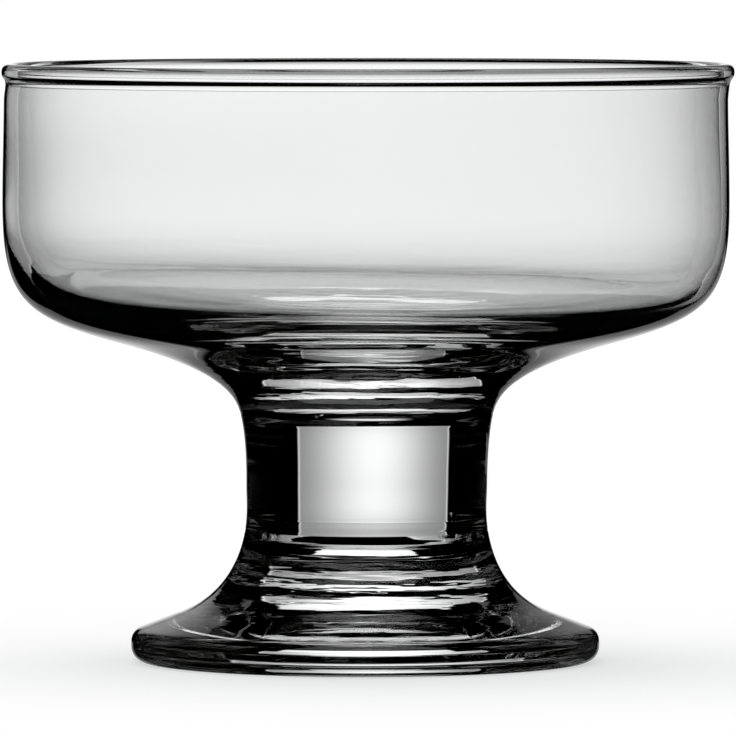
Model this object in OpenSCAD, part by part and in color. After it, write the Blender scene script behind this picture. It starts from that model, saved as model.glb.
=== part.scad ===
// Footed dessert glass: a wide upright bowl fused to a short solid stem and a flared foot.
// Millimetres, +Z up. The origin is the centre of the flat ring that the foot rests on.

/* [Rim] */
// Outer diameter over the rolled rim
rim_d = 100; // [92:0.5:110]
// How far the rolled rim stands out beyond the wall below it
rim_lip = 0.6; // [0.3:0.05:0.9]
// Height of the upright stretch between the upper and the lower rounding of the rolled rim
rim_straight = 0.25; // [0.05:0.05:1]
// Radius of the fillet between the rolled rim and the wall
rim_fillet_r = 1.8; // [0.3:0.1:2.5]

/* [Bowl] */
// Height of the bowl above its joint with the stem
bowl_h = 47.7; // [43:0.1:60]
// Thickness of the wall below the rim
wall_t = 1.5; // [1.2:0.05:2.2]
// Thickness of the wall where the shoulder begins
low_wall_t = 1.55; // [1.2:0.05:2.4]
// How much wider the wall is at the shoulder than below the rim, on the radius
wall_swell = 0.22; // [0:0.02:0.6]
// Height above the joint at which the upright wall turns into the shoulder, outside
shoulder_rise = 28.5; // [26:0.5:31]
// Height above the joint at which the wall turns into the shoulder, inside
inner_shoulder_rise = 27.5; // [24.5:0.5:29]
// Radius at which the underside turns from the shoulder to the throat
underside_r = 34; // [30:0.5:38]
// Height of the underside above the joint, at that radius
underside_rise = 9.73; // [8.6:0.05:10.6]
// Slope of the underside there, in degrees from level
underside_slope = 15; // [12:0.5:18]
// Radius at which the inner shoulder ends and the sloping floor begins
floor_ramp_r = 38; // [34:0.5:40]
// Height of the floor above the joint, at that radius
floor_ramp_rise = 13.9; // [13.6:0.05:15]
// Diameter of the level disc in the middle of the floor
floor_disc_d = 32; // [20:0.5:40]
// Height of the level disc above the joint
floor_disc_rise = 13.1; // [11.4:0.1:13.4]
// Length of the easing between the level disc and the sloping floor, to either side
floor_ease = 2; // [1:0.1:4]

/* [Stem] */
// Height of the stem between its two fused joints
stem_h = 16; // [10:0.5:60]
// Diameter of the fused joint of bowl and stem
bowl_joint_d = 34.6; // [33.2:0.1:38]
// Angle of the side at the joint of bowl and stem, in degrees from level
bowl_joint_angle = 76; // [70:0.5:84]
// Diameter of the stem at its waist
waist_d = 32.9; // [28:0.1:33.1]
// Height of the waist above the joint of stem and foot
waist_rise = 6; // [4:0.25:8]
// Diameter of the fused joint of stem and foot
foot_joint_d = 33.2; // [33:0.1:37]
// Angle of the side at the joint of stem and foot, in degrees from level
foot_joint_angle = 81; // [72:0.5:86]

/* [Foot] */
// Outer diameter of the foot
foot_d = 64; // [58:0.5:80]
// Height of the foot, from the table to its joint with the stem
foot_h = 18; // [15:0.25:24]
// Diameter at which the flare turns into the gentle slope of the foot's top
foot_slope_d = 50.4; // [45:0.2:54]
// Height of the foot's top at that diameter
foot_slope_h = 6.77; // [6:0.05:8]
// Height of the foot's edge, taken to its sharp corner
foot_edge_h = 4.2; // [3.6:0.1:5]
// How far the rounding of the upper edge reaches in and down
edge_round = 1.4; // [0.8:0.1:1.8]
// How far the rounding of the lower edge reaches in and up
rest_round = 2.2; // [1.2:0.1:2.6]
// Diameter of the hollow under the foot
hollow_d = 50; // [40:0.5:54]
// Depth of the hollow in its middle
hollow_depth = 2; // [1:0.1:3]
// Slope of the hollow at its rim, in degrees from level
hollow_rim_slope = 30; // [20:1:40]

/* [Quality] */
// Facets round the glass
facets = 180; // [60:12:240]
// Straight stretches in each curve of an outline
curve_steps = 14; // [6:1:24]

/* [Hidden] */

// Shares of the way to the corner at which a curve's two handles end
wall_shares = [0.35, 0.35];
shoulder_shares = [0.888, 0.806];
throat_shares = [0.93, 0.42];
inner_shoulder_shares = [0.83, 0.5];
floor_ease_shares = [0.6, 0.6];
stem_top_shares = [0.12, 0.6];
stem_foot_shares = [0.4, 0.3];
flare_shares = [0.41, 0.85];
edge_shares = [0.6, 0.6];
rest_shares = [0.55, 0.6];
hollow_shares = [0.6, 0.5];

// Heights of the two fused joints and of the rim above the table
foot_joint_z = foot_h;
bowl_joint_z = foot_joint_z + stem_h;
rim_z = bowl_joint_z + bowl_h;

// The rolled rim is a bead that is flush with the wall inside
bead_r = (wall_t + rim_lip) / 2;
bead_x = rim_d / 2 - bead_r;
bead_z = rim_z - bead_r;
low_bead_z = bead_z - rim_straight;
inner_x = bead_x - bead_r;
outer_x = inner_x + wall_t;
low_outer_x = outer_x + wall_swell;
low_inner_x = low_outer_x - low_wall_t;

// The rim's fillet touches the bead and the wall
fillet_x = outer_x + rim_fillet_r;
fillet_drop = sqrt(pow(bead_r + rim_fillet_r, 2) - pow(fillet_x - bead_x, 2));
fillet_z = low_bead_z - fillet_drop;
fillet_angle = atan2(fillet_drop, bead_x - fillet_x);

shoulder_z = bowl_joint_z + shoulder_rise;
inner_shoulder_z = bowl_joint_z + inner_shoulder_rise;
underside = [underside_r, bowl_joint_z + underside_rise];
floor_ramp = [floor_ramp_r, bowl_joint_z + floor_ramp_rise];
floor_disc_edge = [floor_disc_d / 2, bowl_joint_z + floor_disc_rise];
floor_slope = atan2(floor_ramp_rise - floor_disc_rise, floor_ramp_r - floor_disc_d / 2);

bowl_joint = [bowl_joint_d / 2, bowl_joint_z];
foot_joint = [foot_joint_d / 2, foot_joint_z];
waist = [waist_d / 2, foot_joint_z + waist_rise];

foot_r = foot_d / 2;
foot_shoulder = [foot_slope_d / 2, foot_slope_h];
foot_slope = atan2(foot_slope_h - foot_edge_h, foot_r - foot_slope_d / 2);

// Directions of travel along an outline, in degrees
down = 270;
up = 90;
inward = 180;
outward = 0;

// Point at a distance from p in the direction a
function ahead(p, a, distance) = p + distance * [cos(a), sin(a)];

// Point where the line through p in the direction a meets the line through q in the direction b
function crossing(p, a, q, b) =
    let (gap = q - p)
    ahead(p, a, (gap.x * sin(b) - gap.y * cos(b)) / sin(b - a));

// Cubic curve between p and q with the handle ends h and k
function cubic(p, h, k, q) = [
    for (i = [0 : curve_steps])
        let (t = i / curve_steps, s = 1 - t)
        pow(s, 3) * p + 3 * s * s * t * h + 3 * s * t * t * k + pow(t, 3) * q
];

// Curve that leaves p in the direction a and reaches q in the direction b, round the corner between them
function turn(p, a, q, b, shares) =
    let (corner = crossing(p, a, q, b))
    cubic(p, p + shares[0] * (corner - p), q + shares[1] * (corner - q), q);

// Curve between p and q, with its handles as shares of the height between them
function drift(p, a, q, b, shares) =
    let (height = abs(p.y - q.y))
    cubic(p, ahead(p, a, shares[0] * height), ahead(q, b, -shares[1] * height), q);

// Arc about a centre, from the angle a to the angle b
function arc(centre, radius, a, b) = [
    for (i = [0 : curve_steps]) ahead(centre, a + (b - a) * i / curve_steps, radius)
];

// Rolled rim, from the fillet under the bead over the top to the inside of the wall
function rim_outline() = concat(
    arc([fillet_x, fillet_z], rim_fillet_r, inward, fillet_angle),
    arc([bead_x, low_bead_z], bead_r, fillet_angle - inward, outward),
    arc([bead_x, bead_z], bead_r, outward, inward)
);

// Underside of the bowl and the outside of its wall, from the joint up to the rim
function bowl_outside() = concat(
    turn(bowl_joint, bowl_joint_angle, underside, underside_slope, [throat_shares[1], throat_shares[0]]),
    turn(underside, underside_slope, [low_outer_x, shoulder_z], up, [shoulder_shares[1], shoulder_shares[0]]),
    drift([low_outer_x, shoulder_z], up, [outer_x, fillet_z], up, wall_shares)
);

// Inside of the wall and the floor, from the rim down to the axis
function bowl_inside() = concat(
    drift([inner_x, bead_z], down, [low_inner_x, inner_shoulder_z], down, wall_shares),
    turn([low_inner_x, inner_shoulder_z], down, floor_ramp, inward + floor_slope, inner_shoulder_shares),
    turn(
        ahead(floor_disc_edge, floor_slope, floor_ease), inward + floor_slope,
        ahead(floor_disc_edge, inward, floor_ease), inward, floor_ease_shares
    ),
    [[0, floor_disc_edge.y]]
);

function stem_outline() = concat(
    [[0, foot_joint_z]],
    drift(foot_joint, inward - foot_joint_angle, waist, up, stem_foot_shares),
    drift(waist, up, bowl_joint, bowl_joint_angle, [stem_top_shares[1], stem_top_shares[0]]),
    [[0, bowl_joint_z]]
);

// Hollow and ring under the foot, the rounded edge, the gentle slope and the flare up to the stem
function foot_outline() = concat(
    turn([0, hollow_depth], outward, [hollow_d / 2, 0], -hollow_rim_slope, hollow_shares),
    turn([foot_r - rest_round, 0], outward, [foot_r, rest_round], up, rest_shares),
    turn(
        [foot_r, foot_edge_h - edge_round], up,
        ahead([foot_r, foot_edge_h], inward - foot_slope, edge_round), inward - foot_slope, edge_shares
    ),
    turn(foot_shoulder, inward - foot_slope, foot_joint, inward - foot_joint_angle, [flare_shares[1], flare_shares[0]]),
    [[0, foot_joint_z]]
);

module turned() {
    rotate_extrude($fn = facets) children();
}

module bowl() {
    color([0.93, 0.95, 0.95, 0.4])
        turned() polygon(concat([[0, bowl_joint_z]], bowl_outside(), rim_outline(), bowl_inside()));
}

module stem() {
    color([0.88, 0.91, 0.91, 0.5])
        turned() polygon(stem_outline());
}

module foot() {
    color([0.9, 0.93, 0.93, 0.5])
        turned() polygon(foot_outline());
}

bowl();
stem();
foot();
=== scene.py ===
# Footed dessert glass: the looks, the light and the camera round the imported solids.
import math

import bmesh
import bpy
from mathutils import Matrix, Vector, noise


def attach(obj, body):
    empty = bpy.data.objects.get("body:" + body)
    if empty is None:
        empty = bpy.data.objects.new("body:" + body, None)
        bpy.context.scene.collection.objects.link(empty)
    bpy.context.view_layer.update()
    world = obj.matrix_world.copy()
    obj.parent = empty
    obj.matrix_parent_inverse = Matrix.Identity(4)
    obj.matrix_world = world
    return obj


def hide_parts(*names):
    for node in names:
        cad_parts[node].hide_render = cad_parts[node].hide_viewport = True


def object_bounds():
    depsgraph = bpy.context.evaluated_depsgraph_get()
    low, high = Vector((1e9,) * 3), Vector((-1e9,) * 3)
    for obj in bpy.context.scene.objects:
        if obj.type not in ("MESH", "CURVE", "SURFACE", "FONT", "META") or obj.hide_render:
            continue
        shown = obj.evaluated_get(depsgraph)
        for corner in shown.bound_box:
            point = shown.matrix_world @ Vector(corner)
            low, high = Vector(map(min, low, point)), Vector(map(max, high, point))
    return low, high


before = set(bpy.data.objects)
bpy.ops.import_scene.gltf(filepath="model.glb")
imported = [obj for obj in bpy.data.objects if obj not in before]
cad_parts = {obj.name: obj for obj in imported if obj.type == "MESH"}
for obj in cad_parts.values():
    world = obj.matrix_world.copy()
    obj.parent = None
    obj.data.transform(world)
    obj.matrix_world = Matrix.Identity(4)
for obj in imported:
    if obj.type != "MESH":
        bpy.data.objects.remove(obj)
cadLow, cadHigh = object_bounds()
print("frame loaded")

# directions of travel along an outline, in degrees from outward
outward, up, inward, down = 0.0, 90.0, 180.0, 270.0
# the gap under which two points are one, and the radius under which a ring is one point, in millimetres
doubledGap, axisRadius = 1e-4, 1e-6


def ahead(point, angle, distance):
    turned = math.radians(angle)
    return (point[0] + distance * math.cos(turned), point[1] + distance * math.sin(turned))


def crossing(start, startAngle, end, endAngle):
    gapX, gapZ = end[0] - start[0], end[1] - start[1]
    a, b = math.radians(startAngle), math.radians(endAngle)
    return ahead(start, startAngle, (gapX * math.sin(b) - gapZ * math.cos(b)) / math.sin(b - a))


def cubic(start, handle, otherHandle, end, steps):
    points = []
    for index in range(steps + 1):
        t = index / steps
        s = 1 - t
        weights = (s ** 3, 3 * s * s * t, 3 * s * t * t, t ** 3)
        corners = (start, handle, otherHandle, end)
        points.append(tuple(sum(w * c[axis] for w, c in zip(weights, corners)) for axis in (0, 1)))
    return points


def between(p, q, share):
    return (p[0] + share * (q[0] - p[0]), p[1] + share * (q[1] - p[1]))


# a curve round the corner where the two tangents meet
def bend(start, startAngle, end, endAngle, shares, steps):
    corner = crossing(start, startAngle, end, endAngle)
    return cubic(start, between(start, corner, shares[0]), between(end, corner, shares[1]), end, steps)


# a curve between two nearly parallel tangents, with handles as shares of its height
def drift(start, startAngle, end, endAngle, shares, steps):
    height = abs(start[1] - end[1])
    return cubic(
        start, ahead(start, startAngle, shares[0] * height),
        ahead(end, endAngle, -shares[1] * height), end, steps,
    )


def arc(centre, radius, startAngle, endAngle, steps):
    return [ahead(centre, startAngle + (endAngle - startAngle) * i / steps, radius) for i in range(steps + 1)]


# drops doubled points and splits long stretches, so that the surface can undulate
def evened(points, longest):
    kept = [points[0]]
    for point in points[1:]:
        start = kept[-1]
        length = math.dist(start, point)
        if length < doubledGap:
            continue
        count = math.ceil(length / longest)
        kept.extend(between(start, point, i / count) for i in range(1, count + 1))
    return kept


# millimetres and degrees, and the turn from the floor to the wall is a little softer than the solid's
bowlSizes = {
    "rimDiameter": 100.0, "rimLip": 0.6, "rimStraight": 0.25, "rimFilletRadius": 1.8, "height": 47.7,
    "wall": 1.5, "lowWall": 1.55, "wallSwell": 0.22, "wallShares": (0.35, 0.35),
    "shoulderRise": 28.5, "shoulderShares": (0.888, 0.806),
    "undersideRadius": 34.0, "undersideRise": 9.73, "undersideSlope": 15.0, "throatShares": (0.93, 0.42),
    "innerShoulderRise": 27.5, "innerShoulderShares": (0.87, 0.62),
    "rampRadius": 35.0, "rampRise": 13.79, "discDiameter": 32.0, "discRise": 13.1,
    "easing": 2.0, "easingShares": (0.6, 0.6),
    "jointDiameter": 34.6, "jointAngle": 76.0, "jointHeight": 34.0,
    "curveSteps": 28, "beadSteps": 24, "longest": 1.2, "segments": 384,
    "seamDepth": 0.04, "seamReach": 0.45,
}
stemSizes = {
    "height": 16.0, "waistDiameter": 32.9, "waistRise": 6.0, "topShares": (0.12, 0.6),
    "footShares": (0.4, 0.3), "footJointDiameter": 33.2, "footJointAngle": 81.0,
    "curveSteps": 26, "longest": 0.6, "segments": 320,
}
footSizes = {
    "diameter": 64.0, "height": 18.0, "slopeDiameter": 50.4, "slopeHeight": 6.77, "edgeHeight": 4.2,
    "edgeRound": 1.4, "restRound": 2.2, "hollowDiameter": 50.0, "hollowDepth": 2.0, "hollowRimSlope": 30.0,
    "flareShares": (0.41, 0.85), "edgeShares": (0.6, 0.6), "restShares": (0.55, 0.6),
    "hollowShares": (0.6, 0.5),
    "creaseRound": 0.5, "creaseGap": 0.125, "creaseShares": (0.6, 0.6), "creaseSteps": 6,
    "curveSteps": 26, "edgeSteps": 12, "longest": 1.0, "segments": 320,
}
# metres in one unit of the dictionaries, so that the pieces follow the frame's size
unit = (cadHigh.x - cadLow.x) / bowlSizes["rimDiameter"]


def bowlOutline(sizes):
    jointZ = sizes["jointHeight"]
    beadRadius = (sizes["wall"] + sizes["rimLip"]) / 2
    beadX = sizes["rimDiameter"] / 2 - beadRadius
    beadZ = jointZ + sizes["height"] - beadRadius
    innerX = beadX - beadRadius
    outerX = innerX + sizes["wall"]
    lowOuterX = outerX + sizes["wallSwell"]
    lowInnerX = lowOuterX - sizes["lowWall"]
    fillet = sizes["rimFilletRadius"]
    filletX = outerX + fillet
    filletDrop = math.sqrt((beadRadius + fillet) ** 2 - (filletX - beadX) ** 2)
    lowBeadZ = beadZ - sizes["rimStraight"]
    filletZ = lowBeadZ - filletDrop
    filletAngle = math.degrees(math.atan2(filletDrop, beadX - filletX))
    steps = sizes["curveSteps"]
    joint = (sizes["jointDiameter"] / 2, jointZ)
    underside = (sizes["undersideRadius"], jointZ + sizes["undersideRise"])
    shoulder = (lowOuterX, jointZ + sizes["shoulderRise"])
    throat, side = sizes["throatShares"], sizes["shoulderShares"]
    slope = sizes["undersideSlope"]
    outside = bend(joint, sizes["jointAngle"], underside, slope, throat[::-1], steps)
    outside += bend(underside, slope, shoulder, up, side[::-1], steps)
    outside += drift(shoulder, up, (outerX, filletZ), up, sizes["wallShares"], steps)
    outside += arc((filletX, filletZ), fillet, inward, filletAngle, sizes["beadSteps"] // 2)
    outside += arc((beadX, lowBeadZ), beadRadius, filletAngle - inward, outward, sizes["beadSteps"] // 2)
    outside += arc((beadX, beadZ), beadRadius, outward, inward, sizes["beadSteps"])
    innerShoulder = (lowInnerX, jointZ + sizes["innerShoulderRise"])
    ramp = (sizes["rampRadius"], jointZ + sizes["rampRise"])
    disc = (sizes["discDiameter"] / 2, jointZ + sizes["discRise"])
    rampSlope = math.degrees(math.atan2(ramp[1] - disc[1], ramp[0] - disc[0]))
    inside = drift((innerX, beadZ), down, innerShoulder, down, sizes["wallShares"], steps)
    inside += bend(innerShoulder, down, ramp, inward + rampSlope, sizes["innerShoulderShares"], steps)
    inside += bend(
        ahead(disc, rampSlope, sizes["easing"]), inward + rampSlope,
        ahead(disc, inward, sizes["easing"]), inward, sizes["easingShares"], sizes["beadSteps"],
    )
    inside.append((0.0, disc[1]))
    outside = evened(outside, sizes["longest"])
    inside = evened(inside, sizes["longest"])
    return outside, inside


def stemOutline(sizes):
    footJoint = (sizes["footJointDiameter"] / 2, footSizes["height"])
    waist = (sizes["waistDiameter"] / 2, footSizes["height"] + sizes["waistRise"])
    bowlJoint = (bowlSizes["jointDiameter"] / 2, footSizes["height"] + sizes["height"])
    steps = sizes["curveSteps"]
    side = drift(footJoint, inward - sizes["footJointAngle"], waist, up, sizes["footShares"], steps)
    side += drift(waist, up, bowlJoint, bowlSizes["jointAngle"], sizes["topShares"][::-1], steps)
    return evened(side, sizes["longest"])


def footOutline(sizes):
    radius, edge, rest = sizes["diameter"] / 2, sizes["edgeRound"], sizes["restRound"]
    hollowEdge = (sizes["hollowDiameter"] / 2, 0.0)
    crease = sizes["creaseRound"]
    hollowSlope = -sizes["hollowRimSlope"]
    shoulder = (sizes["slopeDiameter"] / 2, sizes["slopeHeight"])
    slope = math.degrees(math.atan2(sizes["slopeHeight"] - sizes["edgeHeight"], radius - shoulder[0]))
    footJoint = (stemSizes["footJointDiameter"] / 2, sizes["height"])
    jointAngle = inward - stemSizes["footJointAngle"]
    steps = sizes["curveSteps"]
    hollow = bend((0.0, sizes["hollowDepth"]), outward, hollowEdge, hollowSlope, sizes["hollowShares"], steps)
    # the hollow's rim is eased where the solid has a sharp crease
    turnStart = ahead(hollowEdge, inward + hollowSlope, crease)
    turnEnd = ahead(hollowEdge, outward, crease)
    outline = [p for p in hollow if p[1] > turnStart[1] + sizes["creaseGap"]]
    outline += bend(turnStart, hollowSlope, turnEnd, outward, sizes["creaseShares"], sizes["creaseSteps"])
    outline += bend((radius - rest, 0.0), outward, (radius, rest), up, sizes["restShares"], sizes["edgeSteps"])
    outline += bend(
        (radius, sizes["edgeHeight"] - edge), up,
        ahead((radius, sizes["edgeHeight"]), inward - slope, edge), inward - slope,
        sizes["edgeShares"], sizes["edgeSteps"],
    )
    outline += bend(shoulder, inward - slope, footJoint, jointAngle, sizes["flareShares"][::-1], steps)
    return evened(outline, sizes["longest"])


# how real pressed glass departs from a true turned form, in millimetres
liveliness = {
    # the inside leans a little
    "cavityShift": 0.3, "cavityTilt": 0.009, "leanFrom": 76.0, "leanFull": 60.0,
    # heights, and how far the glass stands off its axis there
    "sway": ((6.0, -0.38), (18.0, -0.2), (30.0, -0.14), (45.0, -0.27), (76.5, -0.28), (79.8, 0.0)),
    # slow ripples, which calm down towards the rim and the table
    "rippleInside": 0.018, "rippleOutside": 0.010, "rippleStem": 0.006, "rippleAround": 2.2, "rippleUp": 0.09,
    "calmBelowRim": 2.4, "calmReach": 4.0, "calmAboveTable": 3.0,
    # rungs low on the inside of the wall, in patches
    "chillDepth": 0.010, "chillPitch": 3.4, "chillHeight": 58.0, "chillReach": 7.0, "chillWander": 1.5,
    "patchFrom": -0.2, "patchFull": 0.6,
    # rings in the floor
    "ringDepth": 0.02, "ringPitch": 5.2, "ringWander": 2.5, "ringFade": 6.0,
}
# where in the noise each ripple is read
rippleSeeds = {
    "outside": 3.0, "rungs": 5.0, "patches": 7.0, "inside": 11.0, "stem": 17.0, "foot": 23.0, "rings": 29.0,
}


# 0 at low, 1 at high, smooth between
def eased(low, high, value):
    t = min(1.0, max(0.0, (value - low) / (high - low)))
    return t * t * (3 - 2 * t)


# how far the glass stands off its axis at a height
def sway(height):
    stops = liveliness["sway"]
    if height <= stops[0][0]:
        return stops[0][1]
    for (low, before), (high, after) in zip(stops, stops[1:]):
        if height <= high:
            return before + (after - before) * eased(low, high, height)
    return stops[-1][1]


# slow noise round the glass and up it, about -1 to 1
def ripple(angle, height, kind):
    around = liveliness["rippleAround"]
    across, along = around * math.cos(angle) + rippleSeeds[kind], around * math.sin(angle)
    return noise.noise(Vector((across, along, height * liveliness["rippleUp"])))


# a point of a ring, where upright is 1 on walls and 0 on floors, so that ripples run square to the surface
def placed(radius, height, angle, wave, upright, lean=0.0):
    radius += wave * upright
    height += wave * (1 - upright)
    x, y = radius * math.cos(angle), radius * math.sin(angle)
    shift = sway(height)
    height -= lean * liveliness["cavityTilt"] * x
    x += lean * liveliness["cavityShift"] + shift
    return Vector((x, y, height)) * unit


# places in a piece's list of materials
outerCoat, fusedCoat, innerCoat = 0, 1, 2


# rings of points are joined into a closed skin, and a ring of radius 0 is one point
def turnedSkin(name, rings, segments, coats, materials):
    skin = bmesh.new()
    made = []
    for ring in rings:
        made.append([skin.verts.new(point) for point in ring])
    for low, high in zip(range(len(rings) - 1), range(1, len(rings))):
        a, b = made[low], made[high]
        coat = coats(low)
        for i in range(segments):
            j = (i + 1) % segments
            if len(a) == 1:
                corners = (a[0], b[j], b[i])
            elif len(b) == 1:
                corners = (a[i], a[j], b[0])
            else:
                corners = (a[i], a[j], b[j], b[i])
            face = skin.faces.new(corners)
            face.smooth = True
            face.material_index = coat
    skin.normal_update()
    # a hard edge round each fused face
    for edge in skin.edges:
        if len({face.material_index == fusedCoat for face in edge.link_faces}) > 1:
            edge.smooth = False
    mesh = bpy.data.meshes.new(name)
    skin.to_mesh(mesh)
    skin.free()
    for material in materials:
        mesh.materials.append(material)
    piece = bpy.data.objects.new(name, mesh)
    bpy.context.collection.objects.link(piece)
    return piece


# one ring of points for every point of an outline, with the surface's own ripples
def ringsOf(points, segments, shape):
    rings = []
    for index, (radius, height) in enumerate(points):
        before, after = points[max(0, index - 1)], points[min(len(points) - 1, index + 1)]
        run, rise = abs(after[0] - before[0]), abs(after[1] - before[1])
        upright = rise / math.hypot(run, rise)
        if radius < axisRadius:
            rings.append([shape(0.0, height, 0.0, upright)])
        else:
            rings.append([
                shape(radius, height, math.tau * i / segments, upright) for i in range(segments)
            ])
    return rings


# a faint groove where two pieces were fused
def seam(height):
    reach = bowlSizes["seamReach"]
    nearest = min(abs(height - bowlSizes["jointHeight"]), abs(height - footSizes["height"]))
    return -bowlSizes["seamDepth"] * max(0.0, 1 - nearest / reach) ** 2


# one wrapped socket, on which maths is written as plain expressions
class Wire:
    def __init__(self, tree, socket=None):
        self.tree = tree
        self.socket = socket

    def plug(self, target, value):
        if isinstance(value, Wire):
            self.tree.links.new(value.socket, target)
        else:
            target.default_value = value

    # any node: its type, its settings, the values or links of its sockets, and the output that is read
    def node(self, kind, settings=None, sockets=None, output=0):
        made = self.tree.nodes.new(kind)
        for key, value in (settings or {}).items():
            setattr(made, key, value)
        for key, value in (sockets or {}).items():
            self.plug(made.inputs[key], value)
        return Wire(self.tree, made.outputs[output] if len(made.outputs) else None)

    def maths(self, operation, *values):
        return self.node("ShaderNodeMath", {"operation": operation}, dict(enumerate(values)))

    def __add__(self, other):
        return self.maths("ADD", self, other)

    def __radd__(self, other):
        return self.maths("ADD", other, self)

    def __sub__(self, other):
        return self.maths("SUBTRACT", self, other)

    def __rsub__(self, other):
        return self.maths("SUBTRACT", other, self)

    def __mul__(self, other):
        return self.maths("MULTIPLY", self, other)

    def __rmul__(self, other):
        return self.maths("MULTIPLY", other, self)

    def __truediv__(self, other):
        return self.maths("DIVIDE", self, other)

    def __rtruediv__(self, other):
        return self.maths("DIVIDE", other, self)

    def size(self):
        return self.maths("ABSOLUTE", self)

    def larger(self, other):
        return self.maths("MAXIMUM", self, other)

    def above(self, limit):
        return self.maths("GREATER_THAN", self, limit)

    # whether a count of bounces is under, or at least, a whole number
    def under(self, count):
        return self.maths("LESS_THAN", self, count - 0.5)

    def atLeast(self, count):
        return self.above(count - 0.5)

    # a vector's share along another
    def dot(self, vector):
        return self.node(
            "ShaderNodeVectorMath", {"operation": "DOT_PRODUCT"}, {0: self, 1: vector}, "Value",
        )

    # a vector times another, axis by axis
    def stretched(self, vector):
        return self.node(
            "ShaderNodeVectorMath", {"operation": "MULTIPLY"}, {0: self, 1: vector}, "Vector",
        )

    def length(self):
        return self.node("ShaderNodeVectorMath", {"operation": "LENGTH"}, {0: self}, "Value")

    # 0 below low, 1 above high, smooth between
    def rising(self, low, high):
        return self.node(
            "ShaderNodeMapRange", {"interpolation_type": "SMOOTHSTEP"},
            {"Value": self, "From Min": low, "From Max": high, "To Min": 0.0, "To Max": 1.0},
        )

    # the same round a limit, as far as soft to either side
    def past(self, limit, soft):
        return self.rising(limit - soft, limit + soft)

    # soft noise over a place, as a number
    def cloud(self, scale, detail, roughness):
        return self.node(
            "ShaderNodeTexNoise", {"noise_dimensions": "3D"},
            {"Vector": self, "Scale": scale, "Detail": detail, "Roughness": roughness}, "Fac",
        )


# a new material without nodes, and the bench that its nodes are made on
def blankMaterial(name):
    material = bpy.data.materials.new(name)
    material.use_nodes = True
    material.node_tree.nodes.clear()
    return material, Wire(material.node_tree)


white, black = (1.0, 1.0, 1.0, 1.0), (0.0, 0.0, 0.0, 1.0)
# a Mix node's two colours and its mixed colour, by their places among its sockets
firstColour, secondColour, mixedColour = 6, 7, 2

# all the glass: clear, with slow waves and a few seeds, which are tiny bubbles
glassBase = {
    "refraction": 1.52, "shadowTint": (0.86, 0.88, 0.88, 1.0),
    "waveDetail": 1.0, "waveRoughness": 0.4, "seedEdge": 0.01,
}
# the outer skin, with painted shade: its colour is mixed to black where it is seen edge on, for dark outlines
paintedDarkEdge = {"edgeShadeColour": black, "edgeFrom": 0.74, "edgeFull": 0.88}
# fine level streaks, where the glass chilled against the mould
streaks = {
    "streakStretch": (90.0, 90.0, 1000.0), "streakDetail": 2.0, "streakRoughness": 0.5,
    "streakStart": 0.001, "streakEnd": 0.002,
}
glassLooks = {
    "bowlGlass": {
        **glassBase, **paintedDarkEdge, **streaks,
        "tint": (0.992, 0.996, 0.995, 1.0), "waveScale": 55.0, "waveDepth": 6e-06,
        "seedScale": 130.0, "seedSize": 0.035, "seedDepth": 1.5e-05, "seedShare": 0.93,
        "streakDepth": 6e-05, "streakFrom": 0.035, "streakTo": 0.041,
    },
    # the inside of the bowl, where the floor's outer part is a little less polished
    "innerGlass": {
        **glassBase, **streaks,
        "tint": (0.992, 0.996, 0.995, 1.0), "waveScale": 55.0, "waveDepth": 6e-06,
        "seedScale": 130.0, "seedSize": 0.035, "seedDepth": 1.5e-05, "seedShare": 0.93,
        "streakDepth": 8e-06, "streakFrom": 0.05, "streakTo": 0.062,
        "frost": 0.05, "frostTop": 0.054, "frostFade": 0.005, "frostFrom": 0.033, "frostFull": 0.037,
    },
    "stemGlass": {
        **glassBase, **paintedDarkEdge,
        "tint": (0.985, 0.992, 0.99, 1.0), "waveScale": 70.0, "waveDepth": 3e-06,
        "seedScale": 150.0, "seedSize": 0.03, "seedDepth": 1.2e-05, "seedShare": 0.95,
    },
    # scuffed on the ring that it rests on
    "footGlass": {
        **glassBase, **paintedDarkEdge, **streaks,
        "tint": (0.985, 0.992, 0.99, 1.0), "waveScale": 60.0, "waveDepth": 5e-06,
        "seedScale": 140.0, "seedSize": 0.03, "seedDepth": 1.2e-05, "seedShare": 0.95,
        "streakDepth": 1.1e-04, "streakFrom": 0.006, "streakTo": 0.0145,
        "scuffTop": 0.0012, "scuffRoughness": 0.35, "scratchScale": 900.0, "scratchDetail": 3.0,
        "scratchRoughness": 0.7, "scratchFrom": 0.45, "scratchFull": 0.75,
    },
}


# the height of the skin's fine relief, in metres
def relief(place, level, look):
    wave = place.cloud(look["waveScale"], look["waveDetail"], look["waveRoughness"])
    cell = {"Vector": place, "Scale": look["seedScale"]}
    seedDistance = place.node("ShaderNodeTexVoronoi", {"feature": "F1"}, cell, "Distance")
    seedColour = place.node("ShaderNodeTexVoronoi", {"feature": "F1"}, cell, "Color")
    chosen = seedColour.dot((1.0, 0.0, 0.0)).rising(look["seedShare"], look["seedShare"] + look["seedEdge"])
    seed = chosen * (1 - seedDistance.rising(0.0, look["seedSize"]))
    height = wave * look["waveDepth"] + seed * look["seedDepth"]
    if "streakDepth" in look:
        drawn = place.stretched(look["streakStretch"])
        streak = drawn.cloud(1.0, look["streakDetail"], look["streakRoughness"])
        started = level.past(look["streakFrom"], look["streakStart"])
        within = started * (1 - level.past(look["streakTo"], look["streakEnd"]))
        height = height + streak * within * look["streakDepth"]
    return height


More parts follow.
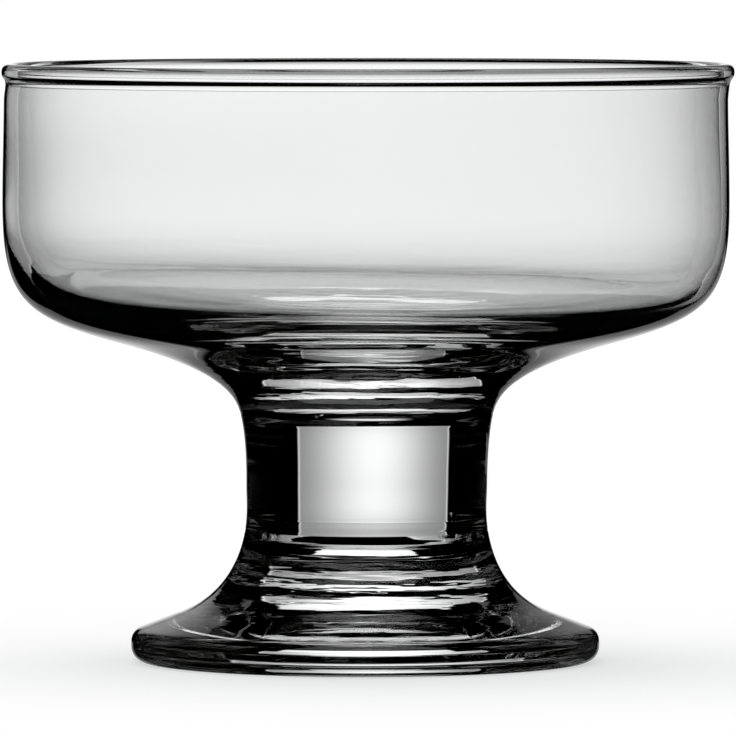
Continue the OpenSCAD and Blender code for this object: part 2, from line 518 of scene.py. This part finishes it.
# scuffs where the foot stands, and the faint dullness of the bowl's floor
def dullness(place, level, look):
    if "scuffTop" in look:
        scratch = place.cloud(look["scratchScale"], look["scratchDetail"], look["scratchRoughness"])
        worn = 1 - level.rising(0.0, look["scuffTop"])
        return worn * scratch.rising(look["scratchFrom"], look["scratchFull"]) * look["scuffRoughness"]
    if "frost" in look:
        radius = place.stretched((1.0, 1.0, 0.0)).length()
        low = 1 - level.rising(look["frostTop"] - look["frostFade"], look["frostTop"])
        return low * radius.rising(look["frostFrom"], look["frostFull"]) * look["frost"]
    return 0.0


def glass(name):
    look = glassLooks[name]
    material, bench = blankMaterial(name)
    place = bench.node("ShaderNodeTexCoord", output="Object")
    level = place.dot((0.0, 0.0, 1.0))
    normal = bench.node(
        "ShaderNodeBump", None,
        {"Height": relief(place, level, look), "Distance": 1.0, "Strength": 1.0}, "Normal",
    )
    tint = look["tint"]
    # painted shade: the glass colour goes to black where the skin is seen edge on
    if "edgeShadeColour" in look:
        facing = bench.node("ShaderNodeLayerWeight", output="Facing")
        edgeShadeMask = facing.rising(look["edgeFrom"], look["edgeFull"])
        tint = bench.node(
            "ShaderNodeMix", {"data_type": "RGBA"},
            {0: edgeShadeMask, firstColour: look["tint"], secondColour: look["edgeShadeColour"]}, mixedColour,
        )
    body = bench.node("ShaderNodeBsdfPrincipled", {"distribution": "MULTI_GGX"}, {
        "Base Color": tint, "Roughness": dullness(place, level, look), "IOR": look["refraction"],
        "Transmission Weight": 1.0, "Normal": normal,
    })
    # lamps shine through, so that the shadow is that of clear glass
    clear = bench.node("ShaderNodeBsdfTransparent", None, {"Color": look["shadowTint"]})
    shadowRay = bench.node("ShaderNodeLightPath", output="Is Shadow Ray")
    skin = bench.node("ShaderNodeMixShader", None, {0: shadowRay, 1: body, 2: clear})
    bench.node("ShaderNodeOutputMaterial", None, {"Surface": skin})
    return material


# the fused faces inside the glass, which nothing shows from outside
def fusedFace():
    material, bench = blankMaterial("fusedFace")
    clear = bench.node("ShaderNodeBsdfTransparent", None, {"Color": white})
    bench.node("ShaderNodeOutputMaterial", None, {"Surface": clear})
    return material


fused = fusedFace()


def makeBowl(sizes):
    outside, inside = bowlOutline(sizes)
    calmTop = sizes["jointHeight"] + sizes["height"] - liveliness["calmBelowRim"]

    def outerShape(radius, height, angle, upright):
        calm = eased(0.0, liveliness["calmReach"], calmTop - height)
        wave = calm * liveliness["rippleOutside"] * ripple(angle, height, "outside") + seam(height)
        return placed(radius, height, angle, wave, upright)

    def innerShape(radius, height, angle, upright):
        low, full = liveliness["leanFrom"], liveliness["leanFull"]
        lean = eased(0.0, 1.0, (low - height) / (low - full))
        calm = eased(0.0, liveliness["calmReach"], calmTop - height)
        wave = calm * liveliness["rippleInside"] * ripple(angle, height, "inside")
        # rungs low on the wall
        near = math.exp(-((height - liveliness["chillHeight"]) / liveliness["chillReach"]) ** 2)
        wander = liveliness["chillWander"] * ripple(angle, 0.0, "rungs")
        rung = math.sin(math.tau * height / liveliness["chillPitch"] + wander)
        patch = eased(liveliness["patchFrom"], liveliness["patchFull"], ripple(angle, height, "patches"))
        wave += near * liveliness["chillDepth"] * rung * patch
        # rings in the floor
        fade = liveliness["ringFade"]
        onFloor = eased(0.0, 1.0, (sizes["rampRadius"] + fade - radius) / fade)
        wander = liveliness["ringWander"] * ripple(angle, radius, "rings")
        ring = math.sin(math.tau * radius / liveliness["ringPitch"] + wander)
        wave += onFloor * liveliness["ringDepth"] * ring
        return placed(radius, height, angle, wave, upright, lean)

    segments = sizes["segments"]
    disc = [[placed(0.0, sizes["jointHeight"], 0.0, 0.0, 0.0)]]
    rings = disc + ringsOf(outside, segments, outerShape) + ringsOf(inside[1:], segments, innerShape)

    def coats(low):
        if low == 0:
            return fusedCoat
        return innerCoat if low >= len(outside) else outerCoat

    materials = [glass("bowlGlass"), fused, glass("innerGlass")]
    return turnedSkin("bowlGlass", rings, segments, coats, materials)


def makeStem(sizes):
    side = stemOutline(sizes)

    def shape(radius, height, angle, upright):
        wave = liveliness["rippleStem"] * ripple(angle, height, "stem") + seam(height)
        return placed(radius, height, angle, wave, upright)

    segments = sizes["segments"]
    bottom = [[placed(0.0, side[0][1], 0.0, 0.0, 0.0)]]
    top = [[placed(0.0, side[-1][1], 0.0, 0.0, 0.0)]]
    rings = bottom + ringsOf(side, segments, shape) + top
    last = len(rings) - 2

    def coats(low):
        return fusedCoat if low in (0, last) else outerCoat

    return turnedSkin("stemGlass", rings, segments, coats, [glass("stemGlass"), fused])


def makeFoot(sizes):
    outline = footOutline(sizes)

    def shape(radius, height, angle, upright):
        calm = eased(0.0, liveliness["calmAboveTable"], height)
        wave = calm * liveliness["rippleStem"] * ripple(angle, height, "foot") + seam(height)
        return placed(radius, height, angle, wave, upright)

    segments = sizes["segments"]
    top = [[placed(0.0, outline[-1][1], 0.0, 0.0, 0.0)]]
    rings = ringsOf(outline, segments, shape) + top
    last = len(rings) - 2

    def coats(low):
        return fusedCoat if low == last else outerCoat

    return turnedSkin("footGlass", rings, segments, coats, [glass("footGlass"), fused])


for make, sizes, node in (
    (makeBowl, bowlSizes, "bowl"), (makeStem, stemSizes, "stem"), (makeFoot, footSizes, "foot"),
):
    piece = make(sizes)
    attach(piece, "root")
    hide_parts(node)
    print("made", piece.name, len(piece.data.vertices), "points")


# an object of the stage, from points and faces
def stageObject(name, points, faces, material):
    mesh = bpy.data.meshes.new(name)
    mesh.from_pydata(points, [], faces)
    mesh.materials.append(material)
    made = bpy.data.objects.new(name, mesh)
    bpy.context.collection.objects.link(made)
    return made


def squareObject(name, reach, height, material):
    points = [(x * reach, y * reach, height) for x, y in ((-1, -1), (1, -1), (1, 1), (-1, 1))]
    return stageObject(name, points, [(0, 1, 2, 3)], material)


floorLook = {"reach": 14.0, "colour": (0.86, 0.86, 0.86, 1.0), "glow": 0.36}


# a plain pale floor that runs out to the backdrop and keeps the glass's shadow
def makeFloor(look):
    material, bench = blankMaterial("paleFloor")
    matt = bench.node("ShaderNodeBsdfDiffuse", None, {"Color": look["colour"]})
    glow = bench.node("ShaderNodeEmission", None, {"Color": white, "Strength": look["glow"]})
    both = bench.node("ShaderNodeAddShader", None, {0: matt, 1: glow})
    seen = bench.node("ShaderNodeLightPath", output="Is Camera Ray")
    mixed = bench.node("ShaderNodeMixShader", None, {0: seen, 1: matt, 2: both})
    bench.node("ShaderNodeOutputMaterial", None, {"Surface": mixed})
    floor = squareObject("floor", look["reach"], 0.0, material)
    # the glass shows the lit panels beyond the floor
    floor.visible_transmission = False
    floor.visible_glossy = False


makeFloor(floorLook)


# only what looks through the glass sees it
def hideFromOthers(thing):
    thing.visible_camera = False
    thing.visible_diffuse = False
    thing.visible_glossy = False
    thing.visible_shadow = False


# metres from the axis and degrees round it
cardLooks = {
    "card": {
        "reach": 0.6, "drop": 0.0005, "azimuth": -49.5, "halfTurn": 17.5, "inner": 0.08, "outer": 0.26,
        "soft": 0.012, "softTurn": 0.012, "strength": 0.95,
    },
    # seen through one wall of the bowl only
    "rightCard": {
        "reach": 0.6, "drop": 0.0015, "azimuth": -20.0, "halfTurn": 14.0, "inner": 0.11, "outer": 0.34,
        "soft": 0.012, "softTurn": 0.012, "strength": 0.9,
        "mostCrossings": 2, "nearer": 0.0175, "softNearer": 0.001,
    },
}


# a lit card under the floor, for what looks down through the glass
def makeCard(name, look):
    material, bench = blankMaterial("litCard")
    place = bench.node("ShaderNodeTexCoord", output="Object")
    distance = place.length()
    middle = math.radians(look["azimuth"])
    along = place.dot((math.sin(middle), math.cos(middle), 0.0)) / distance
    within = along.past(math.cos(math.radians(look["halfTurn"])), look["softTurn"])
    within = within * distance.past(look["inner"], look["soft"])
    within = within * (1 - distance.past(look["outer"], look["soft"]))
    within = within * bench.node("ShaderNodeLightPath", output="Glossy Depth").under(1)
    if "mostCrossings" in look:
        crossed = bench.node("ShaderNodeLightPath", output="Transmission Depth")
        within = within * crossed.under(look["mostCrossings"] + 1)
    if "nearer" in look:
        # light from the wide bowl has less far to go to the card than light from the stem
        gain = distance - bench.node("ShaderNodeLightPath", output="Ray Length")
        within = within * gain.past(look["nearer"], look["softNearer"])
    lit = bench.node("ShaderNodeEmission", None, {"Color": white, "Strength": look["strength"]})
    clear = bench.node("ShaderNodeBsdfTransparent", None, {"Color": white})
    mixed = bench.node("ShaderNodeMixShader", None, {0: within, 1: clear, 2: lit})
    bench.node("ShaderNodeOutputMaterial", None, {"Surface": mixed})
    card = squareObject(name, look["reach"], -look["drop"], material)
    hideFromOthers(card)


for name, look in cardLooks.items():
    makeCard(name, look)

screenLooks = {
    "farScreen": {"radius": 0.1, "top": 0.024, "from": -80.0, "to": -28.0, "stretches": 24},
    "nearScreen": {"radius": 0.06, "top": 0.022, "from": -80.0, "to": -26.0, "stretches": 24},
}


# a low black screen that keeps the first card out of the stem
def makeScreen(name, look):
    count = look["stretches"]
    points = []
    for index in range(count + 1):
        a = math.radians(look["from"] + (look["to"] - look["from"]) * index / count)
        x, y = look["radius"] * math.sin(a), look["radius"] * math.cos(a)
        points += [(x, y, 0.0), (x, y, look["top"])]
    faces = [(2 * i, 2 * i + 2, 2 * i + 3, 2 * i + 1) for i in range(count)]
    material, bench = blankMaterial("blackScreen")
    dark = bench.node("ShaderNodeEmission", None, {"Color": black, "Strength": 0.0})
    bench.node("ShaderNodeOutputMaterial", None, {"Surface": dark})
    screen = stageObject(name, points, faces, material)
    hideFromOthers(screen)


for name, look in screenLooks.items():
    makeScreen(name, look)
print("floor, cards and screens set")

# soft lit panels far behind the glass, in degrees, and black between them
studio = {
    "ambient": 0.3, "softEdge": 0.012,
    # what only mirrors sees a strip of the panels, by how far to the side it looks
    "mirrorFull": 0.05, "mirrorEnd": 0.15,
    # how much brighter the mirrored panels are in solid glass, which light goes into and out of once
    "solidCrossings": 2, "solidBoost": 0.4,
    # the least light through both walls of the bowl, which light crosses at least four skins for
    "bowlCrossings": 4, "bowlFill": 0.3,
    # seen straight through the glass and in everything that it mirrors
    "mainPanels": [
        {
            "azimuth": -3.3, "elevation": -3.6, "halfWidth": 28.2, "halfHeight": 15.9,
            "hotAzimuth": -2.5, "hotElevation": 2.0, "low": 0.27, "high": 1.08,
            "reachAcross": 16.5, "reachUp": 16.0, "trimFrom": 0.95, "trimGlow": 0.5,
        },
        {
            "azimuth": 0.0, "elevation": -90.0, "halfWidth": 20.0, "halfHeight": 20.0,
            "hotAzimuth": 0.0, "hotElevation": -90.0, "low": 0.5, "high": 1.0,
            "reachAcross": 22.0, "reachUp": 22.0,
        },
    ],
    # seen straight through the glass only, so that they don't glint in its other sides
    "sidePanels": [
        {
            "azimuth": 135.0, "elevation": -18.0, "halfWidth": 36.0, "halfHeight": 24.0,
            "hotAzimuth": 135.0, "hotElevation": -14.0, "low": 0.3, "high": 1.05,
            "reachAcross": 22.0, "reachUp": 20.0,
        },
        {
            "azimuth": -98.0, "elevation": -4.0, "halfWidth": 21.0, "halfHeight": 18.0,
            "hotAzimuth": -91.0, "hotElevation": 2.0, "low": 0.3, "high": 1.05,
            "reachAcross": 17.0, "reachUp": 17.0,
        },
        {
            "azimuth": 0.0, "elevation": -90.0, "halfWidth": 32.0, "halfHeight": 32.0,
            "hotAzimuth": 0.0, "hotElevation": -90.0, "low": 0.4, "high": 1.05,
            "reachAcross": 26.0, "reachUp": 26.0,
        },
    ],
    # mirrored by the outer skin only
    "skyPanels": [
        {
            "azimuth": 0.0, "elevation": 20.0, "halfWidth": 17.0, "halfHeight": 11.0,
            "hotAzimuth": -7.0, "hotElevation": 16.0, "low": 0.15, "high": 0.6,
            "reachAcross": 14.0, "reachUp": 12.0,
        },
        {
            "azimuth": 0.0, "elevation": 62.0, "halfWidth": 30.0, "halfHeight": 18.0,
            "hotAzimuth": 0.0, "hotElevation": 62.0, "low": 0.5, "high": 0.8,
            "reachAcross": 30.0, "reachUp": 18.0,
        },
        {
            "azimuth": 0.0, "elevation": -12.0, "halfWidth": 16.0, "halfHeight": 8.5,
            "hotAzimuth": 0.0, "hotElevation": -7.0, "low": 0.2, "high": 0.55,
            "reachAcross": 11.0, "reachUp": 8.0,
        },
    ],
    # seen by what has gone into the glass and was mirrored inside it
    "innerPanels": [
        {
            "azimuth": 0.0, "elevation": 22.0, "halfWidth": 21.0, "halfHeight": 8.5,
            "hotAzimuth": 0.0, "hotElevation": 21.0, "low": 0.5, "high": 1.0,
            "reachAcross": 18.0, "reachUp": 9.0,
        },
    ],
    # seen straight through two walls of the bowl only
    "bowlPanels": [
        {
            "azimuth": -46.0, "elevation": -26.0, "halfWidth": 28.0, "halfHeight": 18.0,
            "hotAzimuth": -45.0, "hotElevation": -24.0, "low": 0.35, "high": 1.05,
            "reachAcross": 18.0, "reachUp": 16.0,
        },
    ],
    # how far in front a direction lies before a panel counts, as a cosine
    "leastFront": 0.05,
}


def heading(azimuth, elevation):
    a, e = math.radians(azimuth), math.radians(elevation)
    return Vector((math.sin(a) * math.cos(e), math.cos(a) * math.cos(e), math.sin(e)))


# the slope that an angle in degrees gives on a flat panel
def spread(angle):
    return math.tan(math.radians(angle))


# one panel's light in every direction: its soft edge, and its falling off from the middle
def panelLight(ray, panel):
    soft = studio["softEdge"]
    middle = heading(panel["azimuth"], panel["elevation"])
    a = math.radians(panel["azimuth"])
    right = Vector((math.cos(a), -math.sin(a), 0.0))
    upward = right.cross(middle)
    front = ray.dot(middle)
    across = ray.dot(right) / front
    high = ray.dot(upward) / front
    halfWidth, halfHeight = spread(panel["halfWidth"]), spread(panel["halfHeight"])
    inWidth = 1 - across.size().past(halfWidth, soft)
    inHeight = 1 - high.size().past(halfHeight, soft)
    hot = heading(panel["hotAzimuth"], panel["hotElevation"])
    hotFront = hot.dot(middle)
    offAcross = (across - hot.dot(right) / hotFront) / spread(panel["reachAcross"])
    offHigh = (high - hot.dot(upward) / hotFront) / spread(panel["reachUp"])
    fall = ray.maths("EXPONENT", -1.0 * (offAcross * offAcross + offHigh * offHigh))
    glow = panel["low"] + (panel["high"] - panel["low"]) * fall
    if "trimGlow" in panel:
        # a brighter line along the panel's border
        outermost = (across.size() / halfWidth).larger(high.size() / halfHeight)
        glow = glow + outermost.rising(panel["trimFrom"], 1.0) * panel["trimGlow"]
    return inWidth * inHeight * front.above(studio["leastFront"]) * glow


def brightest(ray, panels):
    light = panelLight(ray, panels[0])
    for panel in panels[1:]:
        light = light.larger(panelLight(ray, panel))
    return light


def makeWorld(look):
    world = bpy.data.worlds.new("studioWorld")
    bpy.context.scene.world = world
    world.use_nodes = True
    world.node_tree.nodes.clear()
    bench = Wire(world.node_tree)
    ray = bench.node("ShaderNodeTexCoord", output="Generated")
    camera = bench.node("ShaderNodeLightPath", output="Is Camera Ray")
    glossy = bench.node("ShaderNodeLightPath", output="Is Glossy Ray")
    through = bench.node("ShaderNodeLightPath", output="Is Transmission Ray")
    matt = bench.node("ShaderNodeLightPath", output="Is Diffuse Ray")
    mirrored = bench.node("ShaderNodeLightPath", output="Glossy Depth")
    crossed = bench.node("ShaderNodeLightPath", output="Transmission Depth")
    aside = ray.dot((1.0, 0.0, 0.0)).size()
    strip = 1 - aside.rising(look["mirrorFull"], look["mirrorEnd"])
    shown = strip.larger(crossed.atLeast(1))
    inGlass = glossy.larger(through) * brightest(ray, look["mainPanels"]) * shown
    inGlass = inGlass.larger(brightest(ray, look["skyPanels"]) * glossy * crossed.under(1))
    turnedBack = mirrored.atLeast(1) * crossed.atLeast(1)
    inGlass = inGlass.larger(brightest(ray, look["innerPanels"]) * turnedBack)
    solid = turnedBack * crossed.under(look["solidCrossings"] + 1)
    inGlass = inGlass * (1 + solid * look["solidBoost"])
    bowlSide = brightest(ray, look["bowlPanels"]).larger(look["bowlFill"])
    bowlSide = bowlSide * crossed.atLeast(look["bowlCrossings"])
    side = brightest(ray, look["sidePanels"]).larger(bowlSide)
    straight = mirrored.under(1) * through
    strength = camera + inGlass.larger(straight * side) + matt * look["ambient"]
    background = bench.node("ShaderNodeBackground", None, {"Color": white, "Strength": strength})
    bench.node("ShaderNodeOutputWorld", None, {"Surface": background})
    world.cycles.sampling_method = "NONE"


makeWorld(studio)

sunLook = {"from": (-0.15, 0.3, 1.3), "angle": 50.0, "strength": 1.5}


# one wide soft light from above, as even far behind the glass as beside it
def makeSun(look):
    lamp = bpy.data.lights.new("sun", "SUN")
    lamp.energy = look["strength"]
    lamp.angle = math.radians(look["angle"])
    holder = bpy.data.objects.new("sun", lamp)
    bpy.context.collection.objects.link(holder)
    holder.rotation_euler = (-Vector(look["from"])).to_track_quat("-Z", "Y").to_euler()
    holder.visible_glossy = False
    holder.visible_transmission = False


makeSun(sunLook)
print("lights set")

cameraLook = {
    "place": (0.0, -1.45, 0.105), "aim": (0.0, 0.0, 0.0401), "lens": 519.9, "sensor": 36.0,
    "nearest": 0.01, "farthest": 50.0,
}


def makeCamera(look):
    data = bpy.data.cameras.new("camera")
    data.lens = look["lens"]
    data.sensor_width = look["sensor"]
    data.clip_start = look["nearest"]
    data.clip_end = look["farthest"]
    camera = bpy.data.objects.new("camera", data)
    bpy.context.collection.objects.link(camera)
    camera.location = look["place"]
    camera.rotation_euler = (Vector(look["aim"]) - Vector(look["place"])).to_track_quat("-Z", "Y").to_euler()
    bpy.context.scene.camera = camera


makeCamera(cameraLook)
print("camera set")

# light is followed through many walls, and the shadow is the glass's own tint
renderChoices = {
    "max_bounces": 32, "transmission_bounces": 32, "glossy_bounces": 24, "transparent_max_bounces": 32,
    "caustics_reflective": False, "caustics_refractive": False, "use_denoising": True,
}
scene = bpy.context.scene
scene.view_settings.view_transform = "Standard"
for key, value in renderChoices.items():
    setattr(scene.cycles, key, value)
